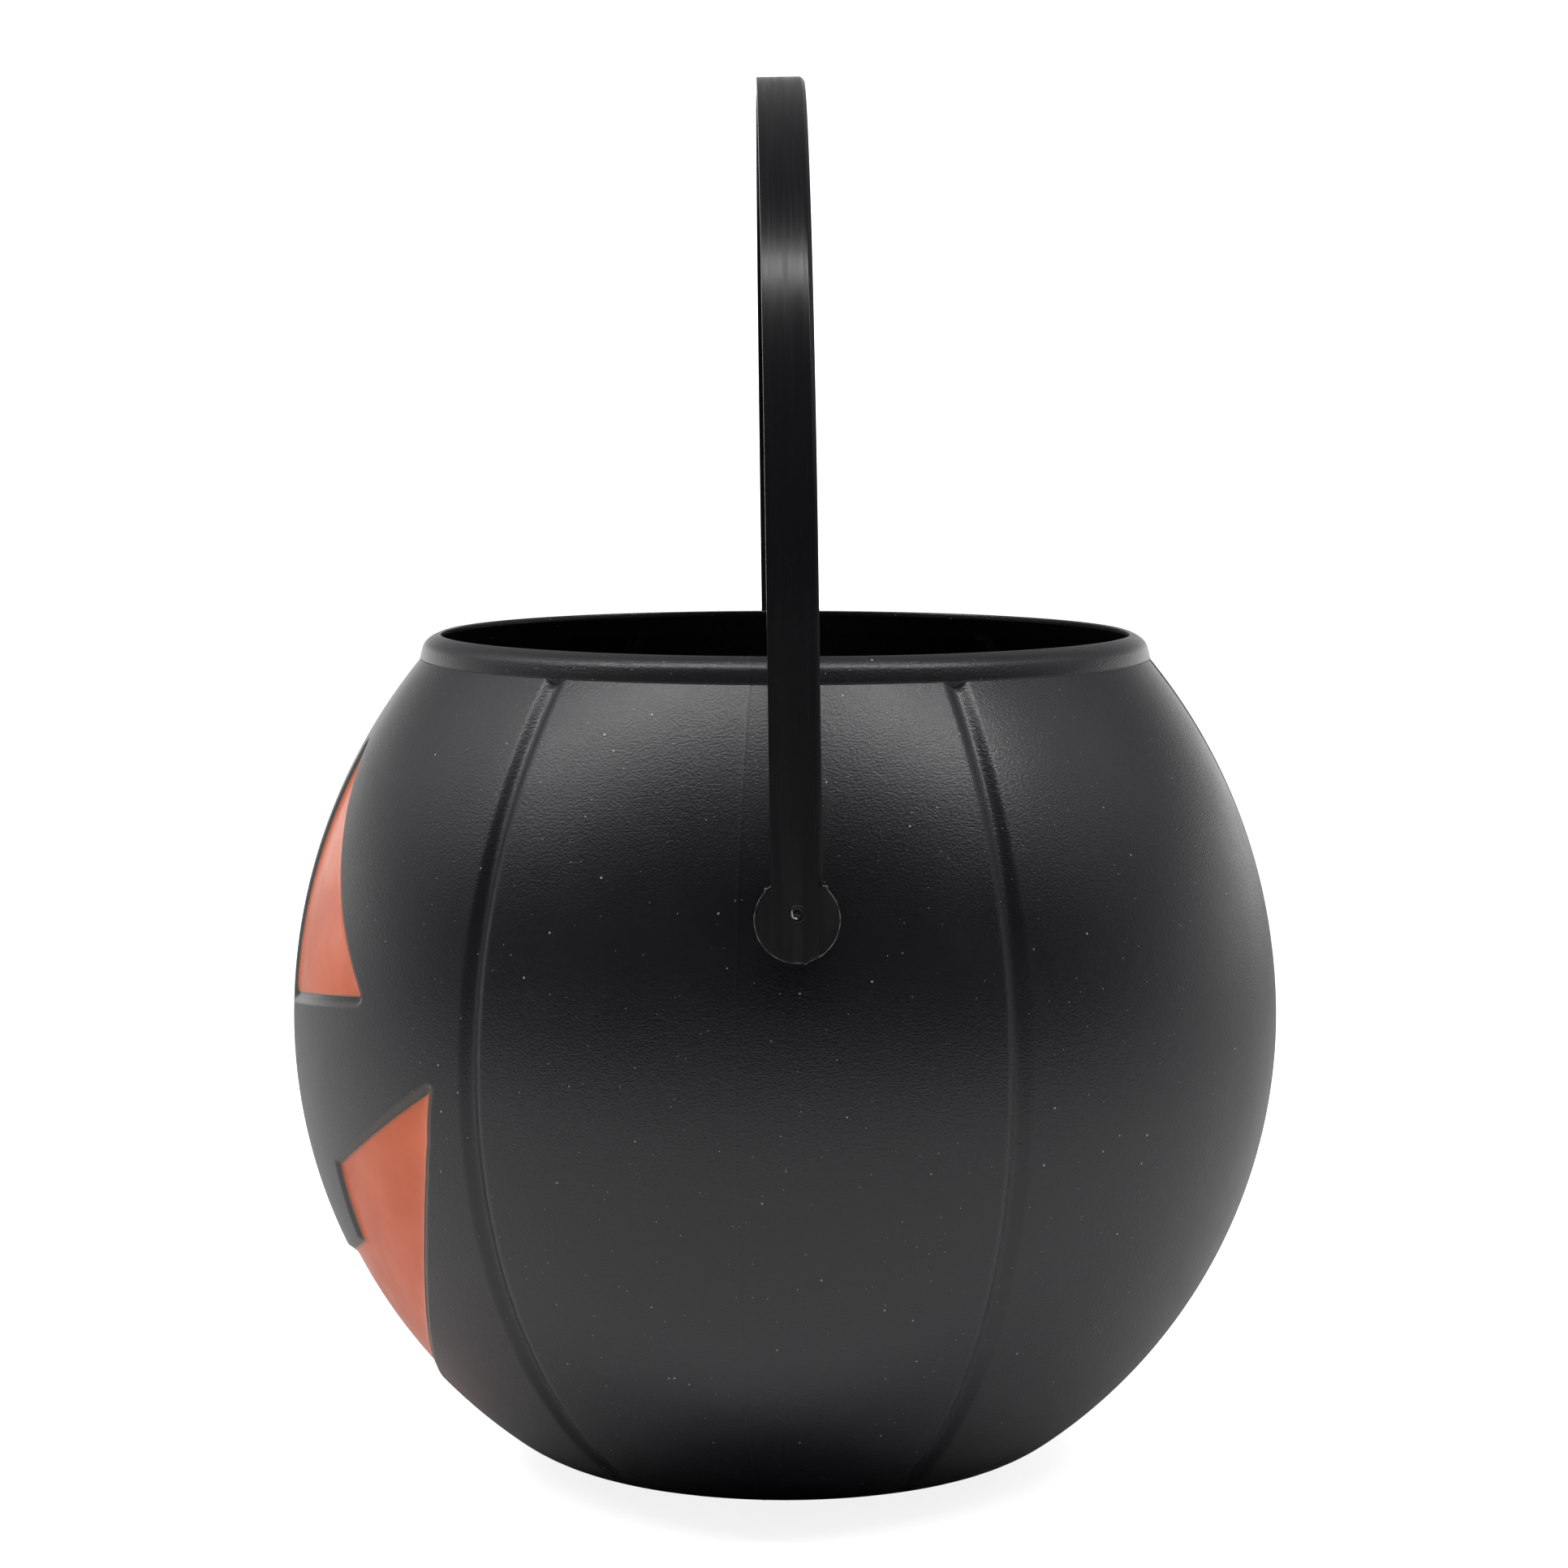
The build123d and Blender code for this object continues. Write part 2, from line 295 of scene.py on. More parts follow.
@dataclass(frozen=True)
class StrapFinish:
    """Glossier black injection-moulded plastic, streaked along the strap, with small scuffs."""

    run: ClassVar[str] = "along_strap"
    colour: Colour = linear(20, 20, 22)
    scuff: Colour = linear(95, 95, 98)
    scuff_share: float = 0.35
    roughness: float = 0.25
    scuff_roughness: float = 0.3
    specular_low: float = 0.14
    specular_high: float = 0.22
    streak_cells: float = 1400.0
    streak_height: float = 0.000009
    wave_cells: float = 60.0
    wave_height: float = 0.00006
    patch_cells: float = 520.0
    scratch_cells: float = 420.0
    dust_specks: tuple[float, ...] = (150.0, 0.12, 0.06)

    def material(self) -> bpy.types.Material:
        """Make the material.

        Returns:
            The new material.
        """
        graph = NodeGraph(bpy.data.materials.new("black_strap_plastic"))
        graph.place = graph.attribute(self.run, "Vector")
        streaks = graph.noise(self.streak_cells, 3.0, graph.stretched((1, 1, 0.02)))
        waves = graph.noise(self.wave_cells, 2.0)
        patches = graph.noise(self.patch_cells, 3.0, graph.stretched((1, 1, 0.05), (9, 0, 0)))
        scratches = graph.noise(self.scratch_cells, 5.0, graph.stretched((1, 1, 0.10), (4, 0, 0)), 0.75)
        marks = graph.ramp(scratches, 0.70, 0.80, 0.0, self.scuff_share)
        dirt = graph.math("MAXIMUM", graph.specks(*self.dust_specks), marks)
        rough = graph.ramp(streaks, 0.3, 0.7, self.roughness - 0.03, self.roughness + 0.03)
        rough = graph.math("ADD", rough, graph.math("MULTIPLY", dirt, self.scuff_roughness))
        skin = graph.bump(waves, self.wave_height, graph.bump(streaks, self.streak_height))
        shine = graph.ramp(patches, 0.42, 0.72, self.specular_low, self.specular_high)
        graph.feed(Base_Color=graph.mix(dirt, self.colour, self.scuff), Normal=skin, Roughness=rough,
                   Specular_IOR_Level=shine)
        return graph.material


@dataclass(frozen=True)
class FlashFinish:
    """Thin torn plastic at the edge of a moulding, whitened by stress; its pale colour also paints in the
    highlight that the thin torn edge catches.
    """

    name: str = "whitened_flash_with_highlight"
    # Pale grey of the whitened plastic, partly a painted highlight along the thin flash.
    colour: Colour = linear(92, 92, 90)
    whole: Colour = linear(24, 24, 25)
    roughness: float = 0.5
    tear_cells: float = 420.0

    def material(self) -> bpy.types.Material:
        """Make the material.

        Returns:
            The new material.
        """
        graph = NodeGraph(bpy.data.materials.new(self.name))
        torn = graph.ramp(graph.noise(self.tear_cells, 3.0), 0.32, 0.58)
        colour = graph.mix(torn, self.whole, self.colour)
        graph.feed(Base_Color=colour, Roughness=self.roughness)
        return graph.material


@dataclass(frozen=True)
class PaintFinish:
    """Satin orange paint, sprayed through a mask, a little uneven and with specks of dust."""

    cover: ClassVar[str] = "paint_cover"
    colour: Colour = linear(221, 109, 68)
    deep: Colour = linear(207, 97, 59)
    speck: Colour = linear(150, 70, 46)
    mist: Colour = linear(112, 92, 76)
    roughness: float = 0.34
    specular: float = 0.3
    spray_cells: float = 2600.0
    spray_share: float = 0.10
    spray_reach: float = 0.6
    cloud_cells: float = 45.0
    peel_cells: float = 520.0
    peel_height: float = 0.00001
    dust_specks: tuple[float, ...] = (260.0, 0.10, 0.10)

    def material(self) -> bpy.types.Material:
        """Make the material.

        Returns:
            The new material.
        """
        graph = NodeGraph(bpy.data.materials.new("orange_face_paint"))
        spray = graph.noise(self.spray_cells, 2.0)
        cloud = graph.noise(self.cloud_cells, 3.0)
        peel = graph.noise(self.peel_cells, 2.0)
        tone = graph.mix(graph.ramp(cloud, 0.35, 0.7), self.colour, self.deep)
        fine = graph.math("MULTIPLY", graph.ramp(spray, 0.55, 0.8), self.spray_share)
        marks = graph.math("MAXIMUM", graph.specks(*self.dust_specks), fine)
        rough = graph.ramp(cloud, 0.3, 0.7, self.roughness - 0.04, self.roughness + 0.06)
        drift = graph.math("MULTIPLY", spray, self.spray_reach)
        edge = graph.ramp(graph.math("ADD", graph.attribute(self.cover), drift), 0.25, 0.95)
        colour = graph.mix(edge, self.mist, graph.mix(marks, tone, self.speck))
        graph.feed(Base_Color=colour, Roughness=rough,
                   Normal=graph.bump(peel, self.peel_height), Specular_IOR_Level=self.specular)
        return graph.material


@dataclass(frozen=True)
class FloorFinish:
    """Pale seamless floor that the camera sees as white, with the object's soft shadow."""

    colour: Colour = (0.88, 0.88, 0.88, 1.0)
    roughness: float = 0.9
    white_share: float = 0.86

    def material(self) -> bpy.types.Material:
        """Make the material.

        Returns:
            The new material.
        """
        graph = NodeGraph(bpy.data.materials.new("pale_floor"))
        glow = graph.math("MULTIPLY", graph.camera_ray(), self.white_share)
        graph.feed(Base_Color=self.colour, Roughness=self.roughness,
                   Emission_Color=WHITE, Emission_Strength=glow)
        return graph.material


def add_object(name: str, data: bpy.types.ID) -> bpy.types.Object:
    """Put a new object in the scene.

    Args:
        name: Name of the object.
        data: Its mesh, light or camera.

    Returns:
        The object.
    """
    item = bpy.data.objects.new(name, data)
    bpy.context.scene.collection.objects.link(item)
    return item


def make_mesh(name: str, points: Sequence[Sequence[float]], faces: list[list[int]]) -> bpy.types.Object:
    """Make a smooth-shaded mesh object.

    Args:
        name: Name of the piece.
        points: Vertices, one row each.
        faces: Vertex indices of each face.

    Returns:
        The object.
    """
    mesh = bpy.data.meshes.new(name)
    mesh.from_pydata(np.asarray(points, float).tolist(), [], faces)
    mesh.validate()
    mesh.shade_smooth()
    return add_object(name, mesh)


def set_attribute(piece: bpy.types.Object, name: str, values: Sequence[object]) -> None:
    """Store a number or a vector at each vertex of a piece."""
    kind, key = ("FLOAT", "value") if np.ndim(values) == 1 else ("FLOAT_VECTOR", "vector")
    piece.data.attributes.new(name, kind, "POINT").data.foreach_set(key, np.ravel(values))


def grid_faces(rows: int, columns: int, capped: bool = True) -> list[list[int]]:
    """Index the faces of a tube of vertices.

    Args:
        rows: Number of rings.
        columns: Vertices to a ring.
        capped: Whether the first and the last ring are filled.

    Returns:
        The vertex indices of each face.
    """
    index = np.arange(rows * columns).reshape(rows, columns)
    after = np.roll(index, -1, axis=1)
    quads = np.stack([index[:-1], after[:-1], after[1:], index[1:]], axis=-1).reshape(-1, 4)
    return quads.tolist() + ([index[0, ::-1].tolist(), index[-1].tolist()] if capped else [])


def turns(count: int) -> np.ndarray:
    """Space angles evenly round a full turn."""
    return np.linspace(0, 2 * math.pi, count, endpoint=False)


def mount(piece: bpy.types.Object, body: Body, finish: bpy.types.Material,
          nodes: Iterable[str] = ()) -> None:
    """Dress a piece and let it move with its body.

    Args:
        piece: The piece.
        body: Body that it moves with.
        finish: Its material.
        nodes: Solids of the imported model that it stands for.
    """
    piece.data.materials.append(finish)
    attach(piece, body.value)
    for node in nodes:
        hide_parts(node)
    LOG.info("%s: %d vertices on %s", piece.name, len(piece.data.vertices), body.value)


def rounded(corners: Sequence[Point2], radii: Sequence[float], steps: int = 6) -> np.ndarray:
    """Round the corners of a closed outline.

    Args:
        corners: Corner points in order.
        radii: Radius at each corner, 0 for a sharp one.
        steps: Points to each arc.

    Returns:
        The outline's points, one row each.
    """
    points: list[np.ndarray] = []
    ring = [np.array(corner, float) for corner in corners]
    for index, (corner, radius) in enumerate(zip(ring, radii)):
        back = ring[index - 1] - corner
        ahead = ring[(index + 1) % len(ring)] - corner
        reach = min(np.linalg.norm(back), np.linalg.norm(ahead)) / 2
        back, ahead = back / np.linalg.norm(back), ahead / np.linalg.norm(ahead)
        half = math.acos(float(np.clip(back @ ahead, -1, 1))) / 2
        run = min(radius / math.tan(half), reach) if radius and half < math.pi / 2 - 0.01 else 0.0
        if run <= 0:
            points.append(corner)
            continue
        for share in np.linspace(0, 1, steps):
            first = corner + back * run * (1 - share)
            second = corner + ahead * run * share
            points.append(first * (1 - share) + second * share)
    return np.array(points)


def shrunk(outline: np.ndarray, margin: float) -> np.ndarray:
    """Move a closed outline inwards.

    Args:
        outline: Points of the outline in order, anticlockwise or clockwise.
        margin: Distance to move.

    Returns:
        The smaller outline.
    """
    after = np.roll(outline, -1, axis=0) - outline
    after = after / np.linalg.norm(after, axis=1)[:, None]
    area = np.sum(outline[:, 0] * np.roll(outline[:, 1], -1) - np.roll(outline[:, 0], -1) * outline[:, 1])
    normal = np.stack([-after[:, 1], after[:, 0]], axis=1) * math.copysign(1, area)
    both = normal + np.roll(normal, 1, axis=0)
    both = both / np.maximum((both ** 2).sum(axis=1) / 2, 0.4)[:, None]
    return outline + both * margin


def resampled(outline: np.ndarray, pitch: float) -> np.ndarray:
    """Add points along the long edges of a closed outline.

    Args:
        outline: Points of the outline in order.
        pitch: Longest edge that stays whole.

    Returns:
        The outline with more points.
    """
    points = []
    for first, second in zip(outline, np.roll(outline, -1, axis=0)):
        count = max(1, math.ceil(float(np.linalg.norm(second - first)) / pitch))
        points += [first + (second - first) * step / count for step in range(count)]
    return np.array(points)


def arc_points(centre: float, radius: float, start: float, end: float, count: int) -> list[Point2]:
    """Sample the lower side of a circle, centred at a height on the middle line, from start to end."""
    return [(x, centre - math.sqrt(radius ** 2 - x ** 2)) for x in np.linspace(start, end, count)]


def inside_depth(outline: np.ndarray, points: np.ndarray) -> np.ndarray:
    """Measure how far points lie inside an outline.

    Args:
        outline: Closed outline, one point a row.
        points: Points to measure, one a row.

    Returns:
        The depth of each point, negative outside.
    """
    nearest = np.full(len(points), np.inf)
    inside = np.zeros(len(points), bool)
    for first, second in zip(outline, np.roll(outline, -1, axis=0)):
        run = second - first
        share = np.clip(((points - first) @ run) / max(run @ run, 1e-18), 0, 1)
        away = points - first - share[:, None] * run
        nearest = np.minimum(nearest, (away ** 2).sum(axis=1))
        crosses = (first[1] > points[:, 1]) != (second[1] > points[:, 1])
        if first[1] != second[1]:
            where = first[0] + (points[:, 1] - first[1]) * run[0] / run[1]
            inside ^= crosses & (points[:, 0] < where)
    depth = np.sqrt(nearest)
    return np.where(inside, depth, -depth)


@dataclass
class FaceDrawing:
    """Outlines of the face as seen from the front: x across, z up."""

    eye_inner: float = 21.5 * MM
    eye_outer: float = 68.2 * MM
    eye_top: float = 156.5 * MM
    eye_inner_foot: float = 100.5 * MM
    eye_outer_foot: float = 106.5 * MM
    eye_bulge: float = 1.5 * MM
    corner_round: float = 2.0 * MM
    apex_round: float = 1.0 * MM
    nose_half_width: float = 11.5 * MM
    nose_top: float = 95.0 * MM
    nose_foot: float = 73.0 * MM
    grin_half_width: float = 84.0 * MM
    grin_corner: float = 92.8 * MM
    upper_lip: float = 59.4 * MM
    lower_lip: float = 16.8 * MM
    tooth_inner: float = 26.0 * MM
    tooth_outer: float = 50.1 * MM
    tooth_length: float = 14.2 * MM
    tooth_taper: float = 3.4 * MM
    tooth_round: float = 1.6 * MM
    eye_points: int = 13
    lower_points: int = 80
    upper_points: tuple[int, int] = (18, 30)
    tooth_points: int = 9

    def eye(self, side: int) -> np.ndarray:
        """Draw the eye on one side.

        Args:
            side: 1 for the +X side, -1 for the -X side.

        Returns:
            The outline.
        """
        foot = np.array([self.eye_outer, self.eye_outer_foot])
        top = np.array([self.eye_inner, self.eye_top])
        along = top - foot
        out = np.array([along[1], -along[0]]) / np.linalg.norm(along)
        shares = np.linspace(0, 1, self.eye_points)[1:-1]
        edge = [foot + along * s + out * self.eye_bulge * 4 * s * (1 - s) for s in shares]
        corners = [(self.eye_inner, self.eye_inner_foot), tuple(foot), *map(tuple, edge), tuple(top)]
        radii = [self.corner_round, self.corner_round, *[0.0] * len(edge), self.apex_round]
        return rounded(corners, radii) * np.array([side, 1])

    def nose(self) -> np.ndarray:
        """Draw the nose, a small triangle."""
        corners = [(-self.nose_half_width, self.nose_foot), (self.nose_half_width, self.nose_foot),
                   (0.0, self.nose_top)]
        return rounded(corners, [self.corner_round] * 3)

    def lip(self, middle: float) -> Point2:
        """Fit the lip arc through both grin corners.

        Args:
            middle: Height of the lip on the centre line.

        Returns:
            The height of the arc's centre, and its radius.
        """
        sag = self.grin_corner - middle
        radius = (self.grin_half_width ** 2 + sag ** 2) / (2 * sag)
        return middle + radius, radius

    def mouth(self) -> np.ndarray:
        """Draw the grin, with its two upper teeth left out.

        Returns:
            The outline.
        """
        centre, radius = self.lip(self.upper_lip)
        end, slant = self.grin_half_width, self.tooth_taper / 2
        points = arc_points(*self.lip(self.lower_lip), -end, end, self.lower_points)
        radii = [self.corner_round, *[0.0] * (len(points) - 2), self.corner_round]
        start = end
        between, last = self.upper_points
        for outer, inner in ((self.tooth_outer, self.tooth_inner), (-self.tooth_inner, -self.tooth_outer)):
            edge = arc_points(centre, radius, start, outer + slant, between)[1:]
            foot = arc_points(centre, radius + self.tooth_length, outer - slant, inner + slant,
                              self.tooth_points)
            points += edge + foot
            radii += [0.0] * (len(edge) - 1) + [self.corner_round / 2, self.tooth_round]
            radii += [0.0] * (len(foot) - 2) + [self.tooth_round]
            start = inner - slant
        edge = arc_points(centre, radius, start, -end, last)[:-1]
        radii += [self.corner_round / 2] + [0.0] * (len(edge) - 1)
        return rounded(points + edge, radii)

    def outlines(self) -> dict[FacePatch, np.ndarray]:
        """Draw every patch of the face."""
        return {
            FacePatch.EYE_LEFT: self.eye(-1),
            FacePatch.EYE_RIGHT: self.eye(1),
            FacePatch.NOSE: self.nose(),
            FacePatch.MOUTH: self.mouth(),
        }


@dataclass
class PailShell:
    """Blow-moulded shell: a turned wall with grooves, a pressed-in face, a rim and a dished base.

    A zone is a half-width in degrees with the step between its columns, and a fade a pair of heights.
    """

    drawing: FaceDrawing
    body_radius: float = 105.0 * MM
    equator: float = 95.8 * MM
    base_radius: float = 39.6 * MM
    base_corner: float = 34.0 * MM
    wall: float = 1.2 * MM
    mouth_radius: float = 73.3 * MM
    rim_height: float = 177.5 * MM
    rim_land: float = 4.5 * MM
    rim_bends: tuple[Point2, ...] = ((0.0, 8.0), (2.7, 20.0), (3.9, 45.0), (5.5, 62.0), (7.3, 75.0))
    band_height: float = 5.3 * MM
    band_proud: float = 0.3 * MM
    standing_ring: float = 9.6 * MM
    push_up_rise: float = 2.5 * MM
    pinch_length: float = 44.0 * MM
    pinch_width: float = 1.4 * MM
    pinch_height: float = 0.8 * MM
    groove_half_angle: float = 31.0
    groove_depth: float = 1.0 * MM
    groove_reach: float = 3.0 * MM
    recess_depth: float = 1.3 * MM
    recess_shoulder: float = 1.1 * MM
    recess_foot: float = 1.6 * MM
    sheen_and_mist_reach: float = 0.35 * MM
    wall_pitch: float = 1.1 * MM
    inner_pitch: float = 1.76 * MM
    corner_rows: int = 10
    crease_rows: tuple[float, ...] = (0.35 * MM, 0.1 * MM, 0.0)
    crease_gap: float = 0.05 * MM
    crease_slack: float = 0.01 * MM
    base_rows: int = 34
    base_hole: float = 0.4 * MM
    dish_edge: float = 6.0 * MM
    dish_soft: float = 0.35 * MM
    rim_rows: int = 27
    cut_rows: tuple[float, ...] = (0.4, 0.7, 1.0)
    throat_start: float = 0.04
    throat_rows: int = 6
    plain_step: float = 1.2
    face_zone: Point2 = (57.0, 0.64)
    groove_zone: Point2 = (3.2, 0.22)
    seam_zones: tuple[Point2, ...] = ((1.8, 0.25), (0.5, 0.05))
    groove_fade: Point2 = (1.5 * MM, 9.0 * MM)
    flattest: float = 0.2
    edge_zone: float = 2.4 * MM
    edge_cuts: int = 3
    seam_height: float = 0.07 * MM
    seam_reach: float = 0.35 * MM
    seam_start: float = 2.0 * MM
    rim_wave: float = 0.12 * MM
    rim_waves: int = 5
    rim_phase: float = 0.7
    rim_wave_reach: float = 1.0 * MM
    band_guard: float = 4.0 * MM
    lip: float = 0.15 * MM
    band_step: float = 0.12 * MM
    finish: ShellFinish = ShellFinish()

    def __post_init__(self) -> None:
        """Work out the two arcs of the wall."""
        self.crease = self.rim_height - self.band_height
        self.crease_radius = self.mouth_radius + self.rim_land - self.band_proud
        rise, step = self.crease - self.equator, self.body_radius - self.crease_radius
        self.upper_arc = (step ** 2 + rise ** 2) / (2 * step)
        drop, step = self.equator - self.base_corner, self.body_radius - self.base_radius
        self.lower_arc = (step ** 2 + drop ** 2 - self.base_corner ** 2) / (2 * (step - self.base_corner))
        self.upper_centre = self.body_radius - self.upper_arc
        self.lower_centre = self.body_radius - self.lower_arc
        self.corner_angle = math.atan2(drop, self.base_radius - self.lower_centre)
        self.corner_height = self.equator - self.lower_arc * math.sin(self.corner_angle)
        half = self.groove_half_angle
        self.groove_angles = [half, 90.0, 180.0 - half, 180.0 + half, 360.0 - half]

    def radius_at(self, height: np.ndarray, inset: float = 0.0) -> np.ndarray:
        """Give the wall's radius at a height.

        Args:
            height: Heights between the base corner and the crease.
            inset: Distance inside the outer surface.

        Returns:
            The radii.
        """
        above = height > self.equator
        arc = np.where(above, self.upper_arc, self.lower_arc) - inset
        centre = np.where(above, self.upper_centre, self.lower_centre)
        return centre + np.sqrt(np.maximum(arc ** 2 - (height - self.equator) ** 2, 0))

    def arc_row(self, centre: Point2, arc: float, angle: float) -> Row:
        """Give one row on an arc of the section."""
        out, up = math.cos(angle), math.sin(angle)
        return centre[0] + arc * out, centre[1] + arc * up, out, up

    def wall_profile(self, inset: float, pitch: float) -> list[Row]:
        """Trace the wall from the base corner up to the crease.

        Args:
            inset: Distance inside the outer surface.
            pitch: Spacing of the rows.

        Returns:
            Radius, height and outward direction of each row.
        """
        turn = self.corner_angle
        climb = math.asin((self.crease - self.equator) / (self.upper_arc - inset))
        foot, belly = (self.base_radius, self.base_corner), (self.lower_centre, self.equator)
        dome = (self.upper_centre, self.equator)
        spans = (
            (foot, self.base_corner, -math.pi / 2, -turn, self.corner_rows),
            (belly, self.lower_arc, -turn, 0.0, int(self.lower_arc * turn / pitch)),
            (dome, self.upper_arc, 0.0, climb, int(self.upper_arc * climb / pitch)),
        )
        rows = [self.arc_row(centre, arc - inset, angle) for centre, arc, start, end, count in spans
                for angle in np.linspace(start, end, count, endpoint=False)]
        return rows + [self.arc_row(dome, self.upper_arc - inset, climb - back / self.upper_arc)
                       for back in self.crease_rows]

    def base_profile(self, inset: float) -> list[Row]:
        """Trace the dished base from the axis out to the base corner.

        Args:
            inset: Distance inside the outer surface.

        Returns:
            Radius and height of each row, with no outward direction.
        """
        reach = self.base_radius - self.standing_ring
        ball = (reach ** 2 + self.push_up_rise ** 2) / (2 * self.push_up_rise)
        rows = []
        for radius in np.linspace(self.base_hole, self.base_radius, self.base_rows, endpoint=False):
            height = self.push_up_rise - ball + math.sqrt(ball ** 2 - radius ** 2)
            if radius > reach - self.dish_edge:
                height = 0.5 * (height + math.sqrt(height ** 2 + self.dish_soft ** 2))
            rows.append((radius, max(height, 0.0) + inset, 0.0, 0.0))
        return rows

    def rim_profile(self) -> list[Row]:
        """Trace the rim band up its side, over its sloping land and down the cut edge to the throat.

        Returns:
            Radius, height and outward direction of each row.
        """
        runs, tilts = np.array(self.rim_bends).T
        places = np.linspace(0, runs[-1], self.rim_rows)
        middles = np.radians(np.interp((places[:-1] + places[1:]) / 2, runs, tilts))
        inward = np.concatenate([[0], np.cumsum(np.sin(middles))])
        upward = np.concatenate([[0], np.cumsum(np.cos(middles))])
        start, gap = self.crease_radius + self.band_step, self.crease_gap
        across = start + (self.mouth_radius + self.lip - start) * inward / inward[-1]
        heights = self.crease + gap + (self.band_height - gap) * upward / upward[-1]
        leans = np.radians(np.interp(places, runs, tilts))
        rows = np.stack([across, heights, np.cos(leans), np.sin(leans)], axis=1).tolist()
        for fall in (self.lip, *(share * self.wall for share in self.cut_rows)):
            rows.append((self.mouth_radius, self.rim_height - fall, 0.0, 0.0))
        inner = float(self.radius_at(np.array(self.crease), self.wall))
        low = self.rim_height - self.wall
        for share in np.linspace(self.throat_start, 1, self.throat_rows, endpoint=False):
            rows.append((self.mouth_radius + (inner - self.mouth_radius) * share,
                         low + (self.crease - low) * share, 0.0, 0.0))
        return rows

    def columns(self) -> np.ndarray:
        """Space the columns round the axis, close together at the face, the grooves and the seam.

        Returns:
            The angles in radians, rising from 0 to a full turn.
        """
        places = [0.0]
        while places[-1] < 360.0:
            here = places[-1]
            face, seam = abs((here - 90.0) % 360.0 - 180.0), abs((here + 90.0) % 180.0 - 90.0)
            zones = [(face, self.face_zone), *((seam, zone) for zone in self.seam_zones)]
            zones += [(abs(here - groove), self.groove_zone) for groove in self.groove_angles]
            fine = [step for away, (reach, step) in zones if away < reach]
            places.append(here + min(fine, default=self.plain_step))
        return np.radians(places[:-1])

    def depth_in_face(self, points: np.ndarray) -> np.ndarray:
        """Measure how far points of the wall lie inside the face's outlines.

        Args:
            points: Points of the wall, one row each.

        Returns:
            The depth of each point as seen from the front, negative outside every outline.
        """
        depth = np.full(len(points), -1.0)
        across, height = points[:, 0], points[:, 2]
        reach = 2 * self.edge_zone
        for outline in self.drawing.outlines().values():
            low, high = outline.min(axis=0) - reach, outline.max(axis=0) + reach
            near = (points[:, 1] < 0) & (across > low[0]) & (across < high[0])
            near &= (height > low[1]) & (height < high[1])
            inside = inside_depth(outline, points[near][:, [0, 2]])
            depth[near] = np.maximum(depth[near], inside)
        return depth

    def grooved(self, angle: np.ndarray, radius: np.ndarray, height: np.ndarray) -> np.ndarray:
        """Give the share of the groove depth at points of the wall.

        Args:
            angle: Angle of each point about the axis.
            radius: Radius of each point.
            height: Height of each point.

        Returns:
            The shares, 1 at the bottom of a groove.
        """
        share = np.zeros(angle.shape)
        for groove in self.groove_angles:
            away = np.abs((angle - math.radians(groove) + math.pi) % (2 * math.pi) - math.pi) * radius
            dip = 0.5 + 0.5 * np.cos(math.pi * away / self.groove_reach)
            share = np.maximum(share, np.where(away < self.groove_reach, dip, 0))
        return share * ease(*self.groove_fade, height) * (height <= self.crease + self.crease_slack)

    def rows(self) -> np.ndarray:
        """Trace the whole section, from under the base over the rim to the floor inside.

        Returns:
            Radius, height and outward direction of each row, and whether it is outside.
        """
        outer = self.base_profile(0) + self.wall_profile(0, self.wall_pitch) + self.rim_profile()
        inner = self.base_profile(self.wall) + self.wall_profile(self.wall, self.inner_pitch)
        flags = [1.0] * len(outer) + [0.0] * len(inner)
        return np.array([(*row, flag) for row, flag in zip(outer + inner[::-1], flags)])

    def blank(self) -> tuple[bpy.types.Object, np.ndarray]:
        """Turn the section into a plain shell, with smaller faces along the edges of the face.

        Returns:
            The plain shell, and the outward direction and the outside flag of each vertex.
        """
        rows, turn = self.rows(), self.columns()
        ring = np.stack([np.cos(turn), np.sin(turn)], axis=1)
        flat = (rows[:, None, :1] * ring[None]).reshape(-1, 2)
        points = np.column_stack([flat, np.repeat(rows[:, 1], len(turn))])
        piece = make_mesh("moulded_shell", points, grid_faces(len(rows), len(turn)))
        traits = np.repeat(rows[:, 2:], len(turn), axis=0)
        near = (np.abs(self.depth_in_face(points)) < self.edge_zone) & (traits[:, 2] > 0.5)
        work = bmesh.new()
        work.from_mesh(piece.data)
        layers = [work.verts.layers.float.new(name) for name in ("out", "up", "outside")]
        for vertex, values in zip(work.verts, traits.tolist()):
            for layer, value in zip(layers, values):
                vertex[layer] = value
        work.verts.ensure_lookup_table()
        fine = {edge for index in np.flatnonzero(near) for face in work.verts[index].link_faces
                for edge in face.edges}
        bmesh.ops.subdivide_edges(work, edges=list(fine), cuts=self.edge_cuts, use_grid_fill=True)
        traits = np.array([[vertex[layer] for layer in layers] for vertex in work.verts])
        work.to_mesh(piece.data)
        work.free()
        return piece, traits

    def floor_points(self, plane: np.ndarray, film: float) -> np.ndarray:
        """Lay points drawn from the front on the pressed-in wall.

        Args:
            plane: Place across and height of each point.
            film: Height above the wall.

        Returns:
            The points in space.
        """
        across, height = plane.T
        radius = self.radius_at(height)
        front = np.sqrt(np.maximum(radius ** 2 - across ** 2, 0))
        spots = np.stack([across, -front, height], axis=1)
        above = height > self.equator
        arc = np.where(above, self.upper_arc, self.lower_arc)
        flat = (radius - np.where(above, self.upper_centre, self.lower_centre)) / arc
        up = (height - self.equator) / arc
        out = np.stack([flat * across / radius, -flat * front / radius, up], axis=1)
        return spots + out * (self.lift(spots, np.zeros(len(plane), bool)) + film)[:, None]

